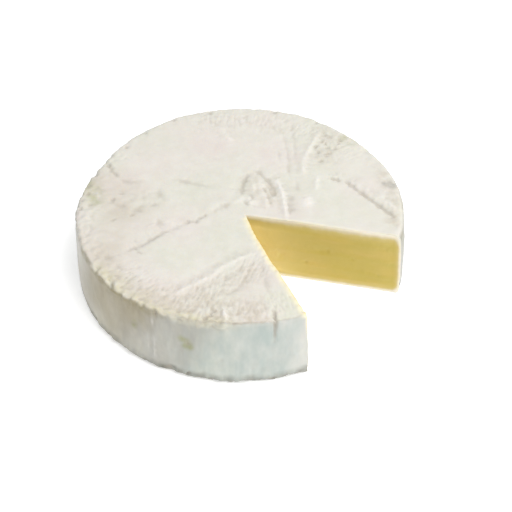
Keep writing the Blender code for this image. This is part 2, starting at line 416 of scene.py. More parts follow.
topMarks = {
    "longFold": dict(
        height=-0.65, width=1.4, lip=-0.3, shade=0.28, pitch=19, wander=0.2,
        lines=(((-55, -22.5), (-48, -17.5), (-42, -13), (-37, -10.5)),),
    ),
    "longFoldEnds": dict(
        height=-0.38, width=1.4, lip=-0.15, shade=0.1, uneven=0.4, pitch=15, wander=0.3,
        lines=(
            ((-38, -11), (-33, -8.5), (-28, -5.5), (-23, -3.5), (-17, -1)),
            ((-74, -29.5), (-69, -28.5), (-63, -26)), ((-62, -25), (-57, -22.5), (-52, -21)),
        ),
    ),
    "foldTicks": dict(
        height=-0.5, width=0.8, broad=0.2, shade=0.3, fade=2, uneven=0.1, wander=0.1,
        lines=(
            ((-28.2, -6.6), (-27.2, -2.6)), ((-23.8, -7.4), (-23, -2.8)), ((-21.8, -3.8), (-20.8, -1.4)),
            ((-19, -2.2), (-18, 0.2)),
        ),
    ),
    "faintFolds": dict(
        height=-0.38, width=1.8, lip=0.15, shade=0.1, fade=7, pitch=15, wander=0.3,
        lines=(
            ((-18, -1), (-12, 3), (-7, 5.5), (-1, 9)), ((-62, 33), (-57, 29.6), (-48, 29)),
            ((-42.5, 24), (-41, 18), (-38.5, 10.5)), ((-42.5, 1), (-43, -5), (-41, -10)),
            ((-35, 29.5), (-25, 25.5), (-13, 20.5)), ((-57, 3), (-53, 8.5), (-47, 10), (-40, 10.5)),
            ((-16, -62), (-9, -60), (-3, -54), (2, -49)), ((-70, 18), (-64, 12), (-58, 10)),
            ((6, -38), (8, -52), (9.4, -66)),
        ),
    ),
    "archFold": dict(
        height=-0.7, width=1.4, lip=-0.3, shade=0.26, uneven=0.25, pitch=13, wander=0.2,
        lines=(
            ((2.2, 13), (2.6, 19), (5.4, 26.6), (8.2, 30.4)),
            ((9.4, 31.6), (12, 30.4), (14.8, 26), (17.2, 21), (19, 16), (19.8, 9.5)),
        ),
    ),
    "archShadow": dict(
        height=-0.4, width=2.4, broad=0.1, shade=0.17, fade=6,
        lines=(((16.4, 22), (18.2, 16.6), (19.2, 11)), ((27.2, 12), (27.4, 4), (27, -6))),
    ),
    "archLines": dict(
        height=-0.5, width=1, lip=0.3, shade=0.18, pitch=14, wander=0.2,
        lines=(
            ((11, 20.5), (13.8, 16), (15.8, 9), (15.6, 3)), ((15.6, 20), (17.2, 14.5), (19, 9)),
            ((4.6, 14), (7, 10.5), (5.4, 6)), ((2.4, 8.6), (4.4, 5), (9, 3)),
        ),
    ),
    "ridgeShadow": dict(
        height=-0.35, width=0.9, shade=0.12, uneven=0.2, pitch=16, wander=0.1,
        lines=(((25.6, 6), (25.4, -7)),),
    ),
    "rightFold": dict(
        height=-0.75, width=1, lip=0.6, shade=0.28, uneven=0.35, pitch=13,
        lines=(
            ((57, 19), (60, 15), (65, 8), (70, 1), (75, -6), (80, -13.5)),
            ((49, 22.5), (52.5, 20.5), (56, 19.5)),
        ),
    ),
    "leftRimFold": dict(
        height=-0.6, width=1.2, lip=0.3, shade=0.2, fade=9, uneven=0.25,
        lines=(((-71, 50), (-67, 43), (-63.5, 36), (-60, 31.5)),),
    ),
    "frontFold": dict(
        height=-1.2, width=0.65, lip=0.25, shade=0.8, fade=7, uneven=0.1,
        lines=(((10.2, -74), (10.6, -79), (11, -84), (10.8, -94)),),
    ),
    "rimFold": dict(
        height=-0.8, width=0.85, lip=0.3, shade=0.5, uneven=0.25,
        lines=(((-28.5, -80.5), (-24.5, -78.5), (-21, -75), (-19.5, -69)),),
    ),
    "rimNotches": dict(
        height=-0.9, width=1.1, broad=0.1, shade=0.4, fade=2, uneven=0.0, wander=0.1,
        lines=(
            ((-75.4, 38), (-73, 35.6)), ((-79.6, 29.6), (-77, 28)), ((-79.8, 23), (-77.6, 21.4)),
            ((-83.4, 17.6), (-81, 16.6)), ((-84.4, 11), (-82.4, 10)), ((-57.6, 59), (-56, 57)),
            ((-46.4, 69.6), (-45.4, 67.6)), ((-30.4, 79), (-29.6, 76.6)), ((-10, 84), (-9.4, 80)),
            ((25.6, 81), (25, 78)), ((47.6, 70), (46.6, 67)),
        ),
    ),
    "pits": dict(
        height=-0.4, width=1.3, broad=0.1, shade=0.15, uneven=0.0,
        lines=(
            ((-27, -56), (-25.5, -54.5)), ((79.5, 17), (80.6, 14)), ((83.4, 9.5), (84, 6.5)),
            ((-57, 4), (-55.6, 2)), ((-52.6, 8), (-51.6, 4)), ((-66.6, 1), (-65, -0.4)),
            ((-55, -22), (-57, -23)), ((-54.6, -27.6), (-53.6, -25.6)), ((-65, -38), (-63, -36)),
            ((-68, -44), (-66.4, -42)), ((-67, 17), (-65.6, 15.4)), ((-62.4, 21), (-61, 19.6)),
        ),
    ),
    "patchPits": dict(
        height=-0.6, width=0.75, broad=0.1, lip=0.2, shade=0.34, fade=1.5, uneven=0.0,
        lines=(
            ((58.6, 53), (58, 50)), ((57, 50), (56.6, 48)), ((52, 58), (50.6, 55.6)),
            ((48.6, 53), (49, 51)), ((45.4, 49.6), (44.6, 46.6)), ((45, 44.6), (46.4, 42.4)),
            ((49, 42.6), (51, 41.6), (53, 43)), ((54, 46), (55.6, 44.4)), ((51, 47.4), (52.6, 46)),
            ((46.4, 37.6), (46.8, 35)), ((49.6, 50), (51, 49.4)),
        ),
    ),
    "whiteRidges": dict(
        height=0.7, width=1.1, broad=0.1, shade=-1, uneven=0.15, pitch=40, wander=0.1,
        lines=(((21.6, 21), (23, 13), (23.4, 4), (23.4, -9)),),
    ),
    "ridgeHead": dict(
        height=0.5, width=2, broad=0.1, shade=-1, uneven=0.15, pitch=40, wander=0.1,
        lines=(((20.4, 25), (21.6, 20), (22.6, 13), (23, 7)),),
    ),
    "rimRidge": dict(
        height=1.3, width=1.2, broad=0.1, shade=-1, uneven=0.1, pitch=30, wander=0.1,
        lines=(((-14.6, -70), (-14.3, -76), (-13.6, -82)),),
    ),
    "broadRidges": dict(
        height=0.5, width=1.9, broad=0.2, shade=-0.6, uneven=0.2, pitch=20, wander=0.15,
        lines=(((39, 42), (36.8, 36), (35.8, 25)),),
    ),
    "paleRidge": dict(
        height=0.5, width=1.2, broad=0.2, shade=-0.9, uneven=0.15, pitch=20, wander=0.15,
        lines=(((43, 25), (42.5, 20), (41, 12.5)),),
    ),
    "palePatch": dict(
        height=0.5, width=2.6, broad=0.1, shade=-1, uneven=0.2, pitch=20,
        lines=(((36.6, 8.5), (35.8, 4), (34.8, -1)),),
    ),
    "softRidges": dict(
        height=0.5, width=1.6, broad=0.2, shade=-0.45, uneven=0.45, pitch=16, wander=0.3,
        lines=(
            ((-6, 71), (-3.5, 63), (0, 55)), ((72, 8), (78, -2), (83, -11)),
            ((7, 26), (8.4, 20), (8, 14)), ((11.4, 26), (12.2, 19), (12.6, 14), (14.2, 9), (15, 1)),
            ((-4, 5.5), (1.6, 10.2), (6.4, 7), (3.6, 2)),
        ),
    ),
    "frontRidge": dict(
        height=0.5, width=1.6, broad=0.4, lip=-0.25, shade=-0.5, uneven=0.4, pitch=12,
        lines=(
            ((-38, -59), (-29, -53.5), (-22.5, -49.5), (-17, -45.5), (-11.5, -41), (-3, -36), (4, -33)),
        ),
    ),
    "backRidge": dict(
        height=0.48, width=1.4, broad=0.4, lip=-0.2, shade=-0.5, uneven=0.25, pitch=19,
        lines=(((48, 62), (45, 54), (41, 47), (37.5, 39)),),
    ),
    "valleyLines": dict(
        height=-0.2, width=1.1, lip=0.1, shade=0.07, fade=8,
        lines=(
            ((28, 62), (29, 48), (28.6, 34), (28, 22)), ((33, 64), (33.6, 50), (32, 38)),
            ((24.6, 48), (24.2, 37)), ((27.4, 71), (26.4, 62)), ((23.6, 70), (24.6, 62)),
            ((-9, 80), (-6, 70), (-5, 60)), ((5, 78), (5.6, 71)), ((9.4, 79), (9, 72)),
            ((32, 24), (31, 12)),
        ),
    ),
    "valley": dict(
        height=-0.3, width=5, broad=0.0, uneven=0.45, pitch=40,
        lines=(((30, 66), (31, 45), (30, 25), (29, 12)),),
    ),
}
sideMarks = {
    "uprightCrease": dict(
        height=0.3, width=0.6, broad=0.0, lip=-0.25, shade=-0.38, wander=0.05,
        lines=(
            ((234, 39.5), (234.2, 29)), ((234.7, 24), (234.9, 8)), ((46, 36), (46.3, 19)),
            ((103, 39), (103.4, 27), (103.2, 14)), ((158, 30), (158.3, 9)), ((8, 34), (8.3, 12)),
        ),
    ),
    "creaseSides": dict(
        height=0.2, width=0.55, broad=0.0, lip=-0.15, shade=-0.2, wander=0.05,
        lines=(((232.5, 26), (232.3, 10)),),
    ),
    "creaseHead": dict(
        height=-0.8, width=0.8, shade=0.5, uneven=0.45, wander=0.1,
        lines=(((235.4, 44), (235.4, 36)),),
    ),
    "frontCrease": dict(
        height=-1, width=0.6, lip=0.2, shade=0.7, fade=16, uneven=0.15, wander=0.06,
        lines=(((277.2, 54), (277, 40), (276.9, 27)),),
    ),
    "stainDent": dict(
        height=-0.5, width=1.8, broad=0.3, uneven=0.45,
        lines=(((245.4, 27.4), (246.6, 25.5), (247.6, 22.5)),),
    ),
    "smallDent": dict(
        height=-0.5, width=1.3, shade=0.25, uneven=0.45,
        lines=(
            ((227.2, 27), (226.8, 24)), ((71, 23), (71.8, 19)), ((129, 14), (130, 17)),
            ((22, 26), (22.6, 23)),
        ),
    ),
    "baseDents": dict(
        height=-0.8, width=1.4, broad=0.2, shade=0.5, uneven=0.1,
        lines=(((237.6, 2), (239.6, 3.2), (241.8, 4.8)), ((246.4, 4), (247.4, 2.6))),
    ),
    "baseNicks": dict(
        height=-0.9, width=1.2, broad=0.2, shade=0.4, fade=2, uneven=0.1,
        lines=(
            ((204, 2), (206, 4)), ((213, 1.6), (214, 3.6)), ((221, 1.4), (222.4, 3.4)),
            ((230, 1.4), (231, 3.6)), ((254, 1), (255.6, 3)), ((262, 0.8), (263.4, 2.4)),
            ((268, 0.8), (269.2, 2.6)), ((275.6, 0.6), (276.6, 3)), ((281, 0.8), (282, 2.6)),
            ((12, 1), (13.6, 3.6)), ((37, 0.8), (38, 3)), ((66, 1), (67.4, 3.6)), ((88, 0.8), (89, 2.8)),
            ((117, 1), (118.4, 4)), ((142, 0.8), (143, 3)), ((171, 1), (172.4, 3.6)),
        ),
    ),
    "baseLip": dict(
        height=0.55, width=1.5, broad=0.3, fade=14, uneven=0.7, pitch=12,
        lines=(
            ((200, 4.5), (214, 4), (228, 4.5), (236, 4.5)), ((250, 4), (262, 3.6), (274, 4.4), (287, 4)),
            ((4, 4), (20, 4.6), (36, 4)), ((74, 4.4), (90, 4), (110, 4.6)),
            ((134, 4), (150, 4.6), (164, 4)),
        ),
    ),
}
cutMarks = {
    "eyes": dict(
        height=-0.45, width=0.8, broad=0.1, uneven=0.0, wander=0.1,
        lines=(((31, 14), (33.4, 13.2)), ((56, 21), (59, 20.2)), ((70, 11), (71.6, 11.6))),
    ),
    "knifeLines": dict(
        height=0.12, width=1.3, broad=0.5, lip=-0.12, uneven=0.45, pitch=18, wander=0.2,
        lines=(
            ((4, 31), (30, 33), (60, 31), (82, 32)), ((4, 22), (40, 20.5), (82, 22.5)),
            ((4, 10), (36, 12), (82, 9.5)), ((20, 36), (50, 36.5), (70, 35.5)),
            ((10, 5.5), (50, 5), (80, 6)),
        ),
    ),
    "smears": dict(
        height=-0.28, width=2.2, uneven=0.45, wander=0.5,
        lines=(((14, 18), (20, 15)), ((38, 25), (46, 23.5)), ((58, 12), (65, 14)), ((70, 32), (76, 29))),
    ),
}


def wheelAngles(coords):
    azimuth = np.degrees(np.arctan2(coords[:, 1], coords[:, 0])) % 360
    return azimuth, np.hypot(coords[:, 0], coords[:, 1])


# turn and height to mm along the side
def unrolled(lines):
    arc = wheelShape["radius"] / mm
    return [[(radians(turn) * arc, height) for turn, height in line] for line in lines]


print("folding the rind")
draw = random.Random(7)
coords = readCoords(wheel)
azimuth, away = wheelAngles(coords)
shade = np.zeros(len(coords))


# lifts of all the strokes of one table, with their shade kept where it is strongest
def allStrokes(spots, marks, weight, turned=False):
    lift = np.zeros(len(spots))
    for mark in marks.values():
        if turned:
            mark = {**mark, "lines": unrolled(mark["lines"])}
        moved, tint = stroke(spots, mark, draw)
        lift += moved
        tint = tint * weight
        shade[:] = np.where(np.abs(tint) > np.abs(shade), tint, shade)
    return lift * weight * mm


topWeight = ease(coords[:, 2], wheelTop - 9 * mm, wheelTop - 1.5 * mm)
coords[:, 2] += allStrokes(coords[:, :2] / mm, topMarks, topWeight)
sideSpots = np.column_stack([np.radians(azimuth) * wheelShape["radius"], coords[:, 2]]) / mm
sideWeight = ease(away, 78 * mm, 82 * mm) * ease(wheelTop - coords[:, 2], 0.0, 1.5 * mm)
outwards = allStrokes(sideSpots, sideMarks, sideWeight, True)
coords[:, :2] *= (1 + outwards / np.maximum(away, 10 * mm))[:, None]

# the same on both cut faces, by the way from the tip and the height
onCut = readAttribute(wheel, "cutFace") > 0.5
fromTip = coords[:, :2] - np.array(wheelShape["tip"])
for turn, facing in zip(wheelShape["cuts"], (-90, 90)):
    ahead = toward(turn)
    outward = toward(turn + facing)
    near = ease(2.5 * mm - np.abs(fromTip @ outward), 0.0, 0.5 * mm) * onCut
    cutSpots = np.column_stack([fromTip @ ahead, coords[:, 2]]) / mm
    height = cutSpots[:, 1]
    cutWeight = near * ease(height, 0.5, 3.0) * ease(wheelTop / mm - height, 0.8, 3.0)
    coords[:, :2] += allStrokes(cutSpots, cutMarks, cutWeight)[:, None] * outward
writeCoords(wheel, coords)


# guide lines in mm: on top by x and y, round the wheel by turn, radius and height

def topLine(*points):
    return [Vector((x * mm, y * mm, wheelTop)) for x, y in points]


def ringPoint(turn, radius, height):
    plan = radius * mm * toward(turn)
    return Vector((*plan, height * mm))


def arcLine(start, end, radius, height, step=3):
    return [ringPoint(turn, radius, height) for turn in np.arange(start, end + step, step)]


def sideLine(*points):
    return [ringPoint(turn, 86.4, height) for turn, height in points]


# a vertex group that is 1 on the line and 0 from reach on
def groupNear(piece, name, line, reach):
    mesh = bpy.data.meshes.new(name + "Guide")
    mesh.from_pydata(line, [(i, i + 1) for i in range(len(line) - 1)], [])
    guide = bpy.data.objects.new(name + "Guide", mesh)
    bpy.context.scene.collection.objects.link(guide)
    group = piece.vertex_groups.new(name=name)
    group.add(range(len(piece.data.vertices)), 1.0, "REPLACE")
    applyModifier(
        piece, "VERTEX_WEIGHT_PROXIMITY", vertex_group=name, target=guide, proximity_mode="GEOMETRY",
        proximity_geometry={"EDGE"}, min_dist=reach * mm, max_dist=0.0, falloff_type="SMOOTH",
    )
    bpy.data.objects.remove(guide)


# relief from a texture, where the group lets it
def press(piece, height, group, direction, texture, uvMap=""):
    applyModifier(
        piece, "DISPLACE", strength=height * mm, direction=direction, vertex_group=group,
        texture=textures[texture], texture_coords="UV" if uvMap else "LOCAL", uv_layer=uvMap,
    )


def addMap(piece, name, across, along):
    layer = piece.data.uv_layers.new(name=name)
    corners = readValues(piece.data.loops, "vertex_index", np.int32)
    layer.data.foreach_set("uv", np.stack([across, along], axis=1)[corners].ravel())


# a map that unrolls the wheel: turns round it and the way in from the rim, one unit a rib
def aroundMap(piece, name, ribWidth, ribLength):
    coords = readCoords(piece)
    azimuth, away = wheelAngles(coords)
    around = np.radians((azimuth + 45.0) % 360.0) * wheelShape["radius"] / mm
    inward = (away + wheelTop - coords[:, 2]) / mm
    addMap(piece, name, around / ribWidth, inward / ribLength)


# the same in plan, for ribs that run across the front of the top
def planMap(piece, name, slant, ribWidth, ribLength):
    spots = readCoords(piece)[:, :2] / mm
    ahead = toward(slant)
    across = spots @ (ahead[1], -ahead[0])
    addMap(piece, name, across / ribWidth, spots @ ahead / ribLength)


# slant in degrees, width and length of a rib in mm
planMap(wheel, "slantMap", 68, 4.6, 13.0)
aroundMap(wheel, "ribMap", 5.0, 12.0)
aroundMap(wheel, "streakMap", 14.0, 36.0)
textureSizes = {
    # size and depth of the noise, for the ribs in units of their map
    "ribs": (0.6, 1),
    "crumple": (4.0 * mm, 2),
    "pebbles": (2.8 * mm, 0),
    "beads": (3.2 * mm, 0),
    "waves": (30 * mm, 1),
    "ripple": (12 * mm, 2),
    "nap": (2.0 * mm, 1),
}
textures = {}
for name, (size, depth) in textureSizes.items():
    textures[name] = bpy.data.textures.new(name, "CLOUDS")
    textures[name].noise_scale = size
    textures[name].noise_depth = depth
patchLine = topLine((50, 57), (55, 48), (48, 38))
frontEdgeLine = topLine((3.2, -6.6), (5.4, -16), (8.1, -26), (13, -41.3), (19.6, -60.2), (26.4, -79.4))
roughZones = {
    # line, reach and height in mm, texture and its map
    "frontRibs": (arcLine(214, 286, 74, 41), 15, 1.2, "ribs", "ribMap"),
    "rimBeads": (arcLine(203, 258, 84, 40), 6, 2.2, "beads"),
    "frontSlants": (topLine((-26, -60), (-8, -51), (3, -43)), 15, 1.1, "ribs", "slantMap"),
    "frontPebbles": (topLine((-22, -62), (-8, -52), (3, -42)), 15, 0.6, "pebbles"),
    "frontRim": (arcLine(238, 275, 80, 40.5), 9, 0.8, "pebbles"),
    "backRibs": (arcLine(34, 98, 75, 41), 14, 0.9, "ribs", "ribMap"),
    "leftRim": (arcLine(140, 200, 83.6, 40), 9, 1.3, "beads"),
    "leftCrumple": (arcLine(140, 205, 80, 40), 12, 1.0, "crumple"),
    "backRim": (arcLine(30, 140, 84, 40), 7, 1.0, "crumple"),
    "backPatch": (patchLine, 12, 1.4, "crumple"),
    "leftPatch": (topLine((-70, 16), (-52, 16)), 15, 0.7, "beads"),
    "archPatch": (topLine((6, 20), (11, 12), (14, 5)), 9, 0.5, "beads"),
    "rightRim": (arcLine(-16, 34, 83, 40), 9, 1.0, "crumple"),
    "edgeBeads": (frontEdgeLine, 4.5, 1.3, "pebbles"),
    "sideStreaks": (arcLine(-18, 288, 86, 16, 2), 26, 0.75, "ribs", "streakMap"),
    "sideFolds": (arcLine(236, 288, 86, 12, 2), 18, 1.0, "ripple"),
    "backFolds": (arcLine(-18, 158, 86, 12, 2), 18, 0.9, "ripple"),
    "sideFoot": (arcLine(234, 534, 85, 3, 2), 6, 1.1, "beads"),
}
outwardZones = ("rimBeads", "leftRim", "sideStreaks", "sideFolds", "backFolds", "sideFoot")
print("roughening the rind")
for name, (line, reach, height, texture, *uvMap) in roughZones.items():
    groupNear(wheel, name, line, reach)
    direction = "NORMAL" if name in outwardZones else "Z"
    press(wheel, height, name, direction, texture, *uvMap)


# a group with the given weight at each vertex
def groupOf(piece, name, weights):
    group = piece.vertex_groups.new(name=name)
    for index in np.flatnonzero(weights > 0.01):
        group.add([int(index)], float(weights[index]), "REPLACE")


# low waves over the upper half with its cut edges, then ripples and a fine nap on the rind
heights = readCoords(wheel)[:, 2]
groupOf(wheel, "upperHalf", ease(heights, 8 * mm, 36 * mm))
groupOf(wheel, "rindOnly", ~onCut & (heights > 0.5 * mm))
press(wheel, 1.2, "upperHalf", "Z", "waves")
press(wheel, 0.5, "rindOnly", "NORMAL", "ripple")
press(wheel, 0.12, "rindOnly", "NORMAL", "nap")


# zones of colour, kept as attributes for the materials

cornerHead = Vector((0.027, -0.080, 0.041))
cornerFoot = Vector((0.027, -0.080, 0.002))
tintZones = {
    # line and reach in mm
    "stain": (sideLine((245.2, 27.4), (246.6, 26.2), (247.8, 23), (246.4, 22.8)), 3.7),
    "rightRimTone": (arcLine(-12, 14, 80, 41), 7),
    # the rind's cut edges: partly its pale cross-section, partly a painted glow of light through the
    # thin rind
    "cornerEdge": ([cornerHead, cornerFoot], 1.7),
    # painted shade in the dent at the base
    "baseDentShade": (sideLine((237.6, 2.4), (239.6, 3.4), (241.8, 5)), 2.6),
    "smallStain": (sideLine((226.8, 26.4), (226.4, 23.4)), 2.8),
    "rightSpot": (topLine((78.6, 15), (82, 13)), 5),
    "yellowSpot": (topLine((61, 53), (64, 51)), 6),
    "greenSpot": (topLine((-79.5, 31), (-77, 24), (-74, 17)), 9),
    "frontEdge": (frontEdgeLine, 4.2),
    "goldEdge": (frontEdgeLine, 1.6),
    "archTone": (topLine((7, 22), (12, 14), (17.4, 8), (18, 17)), 10),
    "rightEdge": (topLine((8, -4.3), (82.2, -28.3)), 1.4),
    "pebbleTone": (topLine((-24, -62), (-8, -54), (4, -46)), 16),
    "patchTone": (patchLine, 12),
    "leftTone": (topLine((-72, 30), (-60, 10), (-72, -20)), 24),
    "creamZone": (arcLine(200, 240, 78, 41), 9),
}
bandArcs = {
    # arcs as in wheelShape
    "frontSide": (190, 288, 20, 1),
    "frontRim": (248, 290, 12, 1),
    "broadRim": (209, 228, 8, 10),
    "coolTintAndShade": (250, 273, 16, 30),
    "tanTintAndShade": (203, 212, 34, 14),
    "tanRimAndShade": (206, 230, 8, 10),
    "oliveRimShadow": (198, 234, 16, 9),
    "paleRim": (243, 256, 5, 12),
    "greyTintAndShade": (218, 238, 14, 12),
    "creamTint": (207, 254, 8, 14),
    "frontTone": (236, 274, 16, 4),
    "frontLight": (277, 292, 2, 5),
}
print("marking zones of colour")
for name, (line, reach) in tintZones.items():
    groupNear(wheel, name, line, reach)


# zones that follow the rim and the side; lengths are in mm here
def bandTints(piece):
    coords = readCoords(piece) / mm
    azimuth, away = wheelAngles(coords)
    height = coords[:, 2]
    facingUp = readVectors(piece.data.vertices, "normal")[:, 2]
    uneven = ringNoise(azimuth, 6 * mm, 12.0)
    band = {name: arcBand(azimuth, *arc) for name, arc in bandArcs.items()}
    lean = azimuth - 0.35 * height      # streaks down the side lean a little
    outer = ease(away, 70, 80)
    overRim = (1 - ease(facingUp, 0.5, 0.98)) * outer
    # at the front the tone of the side goes on over the rim, up to a thin line of painted shade
    inward = (outlineRadius(azimuth) - wheelShape["frontLean"]) / mm - away - 0.5 * uneven
    side = (1 - ease(facingUp, 0.15, 0.9)) * outer
    side = np.maximum(side, band["frontRim"] * (1 - ease(inward, 0.6, 1.3)))
    behind = side * (1 - band["frontSide"])
    rimWidth = (3.2 + 1.6 * uneven) * (1 + 0.5 * band["broadRim"])
    rim = bell((away - 84 + 0.3 * rimWidth) / rimWidth) * (1 - 0.7 * side)
    # painted shade: darker towards the foot of the side, as a contact shadow
    foot = 1 - ease(height, 2.5 + 1.5 * uneven, 7.5 + 2 * uneven)
    # the side's cool, grey and tan tints are partly the rind's own colour and partly painted shade that
    # darkens the side, most on the left
    return {
        "coolTintAndShade": side * (0.35 + 0.65 * band["coolTintAndShade"]) * (1 - 0.25 * ease(height, 38, 41)),
        "tanTintAndShade": side * arcBand(lean, *bandArcs["tanTintAndShade"]) * (0.6 + 0.4 * ease(height, 4, 22)),
        "tanRimAndShade": side * band["tanRimAndShade"] * ease(height, 20 + 5 * uneven, 36),
        # painted shadow under the rim's beads
        "oliveRimShadow": overRim * band["oliveRimShadow"] * ease(height, 35.6 + 1.5 * uneven, 38.6),
        # painted shade line along the front rim
        "rimShadowLine": band["frontRim"] * (height > 36) * bell((inward - 1.1) / 0.6),
        "paleRim": side * band["paleRim"] * ease(height, 36 + 3 * uneven, 39.5),
        "greyTintAndShade": side * arcBand(lean, *bandArcs["greyTintAndShade"]),
        # the back gets the same tints and painted shade as the side in front
        "backTanAndShade": behind,
        "backGreyAndShade": behind,
        # painted shadow under the rim on the back, as on the front
        "backRimShadow": behind * ease(height, 32 + 4 * uneven, 37.5),
        "creamTint": rim * band["creamTint"],
        "footShadow": side * foot,
        "frontTone": (1 - side) * band["frontTone"] * ease(away, 58, 76),
        "frontLight": (1 - side) * band["frontLight"] * ease(away, 58, 70),
    }


# the groups of colour become attributes, and all groups go
def groupsToAttributes(piece, names):
    weights = np.zeros((len(piece.vertex_groups), len(piece.data.vertices)))
    for vertex in piece.data.vertices:
        for part in vertex.groups:
            weights[part.group, vertex.index] = part.weight
    rows = {name: piece.vertex_groups[name].index for name in names}
    piece.vertex_groups.clear()
    for name, row in rows.items():
        storeAttribute(piece, name, weights[row])


# how far each point lies under its surroundings, 1 at fullDepth
def storeHollows(piece, name, rounds, fullDepth, weight):
    coords = readCoords(piece)
    edges = np.zeros(len(piece.data.edges) * 2, dtype=np.int64)
    piece.data.edges.foreach_get("vertices", edges)
    first, second = edges.reshape(-1, 2).T
    count = np.bincount(np.concatenate([first, second]), minlength=len(coords))[:, None]
    around = coords.copy()
    for _ in range(rounds):
        total = np.zeros_like(around)
        for axis in range(3):
            total[:, axis] += np.bincount(first, around[second, axis], minlength=len(coords))
            total[:, axis] += np.bincount(second, around[first, axis], minlength=len(coords))
        around = total / count
    under = ((around - coords) * readVectors(piece.data.vertices, "normal")).sum(axis=1)
    storeAttribute(piece, name, np.clip(under / fullDepth, -1.0, 1.0) * weight)


groupsToAttributes(wheel, tintZones)
bands = bandTints(wheel)
for name, values in bands.items():
    storeAttribute(wheel, name, values)
# painted shade in folds, pits, notches and dents, from the strokes
storeAttribute(wheel, "creaseShade", np.maximum(shade, 0))
# thick white bloom with a painted highlight along the ridges, from the strokes
storeAttribute(wheel, "bloom", np.maximum(-shade, 0))
# painted shade: points lying in a hollow darken, more between the rim's beads
storeHollows(wheel, "hollowShade", 25, 0.4 * mm, 0.55 + 0.45 * bands["creamTint"])


# materials

def setSockets(node, values):
    for name, value in values.items():
        node.inputs[name].default_value = value


def attributeNode(tree, name):
    node = tree.nodes.new("ShaderNodeAttribute")
    node.attribute_name = name
    return node.outputs["Fac"]


def noiseNode(tree, scale, detail=3.0, roughness=0.5, stretch=None):
    place = tree.nodes.new("ShaderNodeTexCoord").outputs["Object"]
    if stretch:
        mapping = tree.nodes.new("ShaderNodeMapping")
        mapping.inputs["Scale"].default_value = stretch
        tree.links.new(place, mapping.inputs["Vector"])
        place = mapping.outputs["Vector"]
    node = tree.nodes.new("ShaderNodeTexNoise")
    setSockets(node, {"Scale": scale, "Detail": detail, "Roughness": roughness})
    tree.links.new(place, node.inputs["Vector"])
    return node.outputs["Fac"]


def rangeNode(tree, value, fromLow, fromHigh, toLow=0.0, toHigh=1.0):
    node = tree.nodes.new("ShaderNodeMapRange")
    setSockets(node, {"From Min": fromLow, "From Max": fromHigh, "To Min": toLow, "To Max": toHigh})
    tree.links.new(value, node.inputs["Value"])
    return node.outputs["Result"]


# a socket takes a link or a fixed value
def feed(tree, socket, value):
    if isinstance(value, bpy.types.NodeSocket):
        tree.links.new(value, socket)
    else:
        socket.default_value = value


def mathNode(tree, operation, first, second):
    node = tree.nodes.new("ShaderNodeMath")
    node.operation = operation
    feed(tree, node.inputs[0], first)
    feed(tree, node.inputs[1], second)
    return node.outputs["Value"]


def mixNode(tree, factor, first, second):
    node = tree.nodes.new("ShaderNodeMix")
    node.data_type = "RGBA"
    colours = [socket for socket in node.inputs if socket.type == "RGBA"]
    feed(tree, node.inputs["Factor"], factor)
    feed(tree, colours[0], first)
    feed(tree, colours[1], second)
    return [socket for socket in node.outputs if socket.type == "RGBA"][0]


def rampNode(tree, value, stops):
    node = tree.nodes.new("ShaderNodeValToRGB")
    elements = node.color_ramp.elements
    while len(elements) < len(stops):
        elements.new(0.5)
    for element, (position, colour) in zip(elements, stops):
        element.position = position
        element.color = colour
    tree.links.new(value, node.inputs["Fac"])
    return node.outputs["Color"]


def addBump(tree, shader, distance, scale, detail, roughness):
    bump = tree.nodes.new("ShaderNodeBump")
    setSockets(bump, {"Strength": 0.3, "Distance": distance})
    tree.links.new(noiseNode(tree, scale, detail, roughness), bump.inputs["Height"])
    tree.links.new(bump.outputs["Normal"], shader.inputs["Normal"])


def newMaterial(name):
    material = bpy.data.materials.new(name)
    material.use_nodes = True
    return material, material.node_tree, material.node_tree.nodes["Principled BSDF"]


rindLook = {
    "surface": {
        "Subsurface Weight": 0.12, "Subsurface Radius": (1.0, 0.75, 0.45), "Subsurface Scale": 0.002,
        "Sheen Weight": 0.1, "Sheen Roughness": 0.6,
    },
    # noise: size per metre, detail, roughness; for a bump its depth comes first
    "nap": (0.3 * mm, 900.0, 5.0, 0.65),
    "mottle": (160.0, 5.0, 0.6),
    "patchSize": 30.0,
    "dullSize": 400.0,
    "roughness": (0.74, 0.92),
    "creaseShadeStrength": 0.8,
    "hollowShadeStrength": 0.6,
    "tintStretch": (1, 1, 0.45),     # mottling runs down the side
    "patches": ((0.34, tone(221, 219, 205)), (0.50, tone(224, 219, 208)), (0.66, tone(226, 217, 209))),
    "bloom": tone(233, 230, 221),
    # thick bloom and painted highlight colour for the ridges
    "bloomAndHighlight": tone(240, 236, 229),
    # painted shade colour for folds, hollows and the shaded line at the rim
    "fold": tone(174, 164, 150),
    "beige": tone(209, 200, 185),
    "cream": tone(214, 208, 178),
    "tan": tone(155, 144, 120),
    "olive": tone(146, 136, 102),
    "pale": tone(206, 201, 182),
    # painted contact shadow colour at the foot
    "foot": tone(140, 139, 130),
    "light": tone(219, 220, 202),
    "moss": tone(192, 191, 158),
    "grey": tone(166, 164, 157),
    "deep": tone(98, 102, 92),
    "cool": tone(176, 185, 179),
    "stain": tone(155, 156, 112),
    # pale rind edge with a painted glow
    "edge": tone(249, 239, 202),
    "gold": tone(242, 219, 150),
}
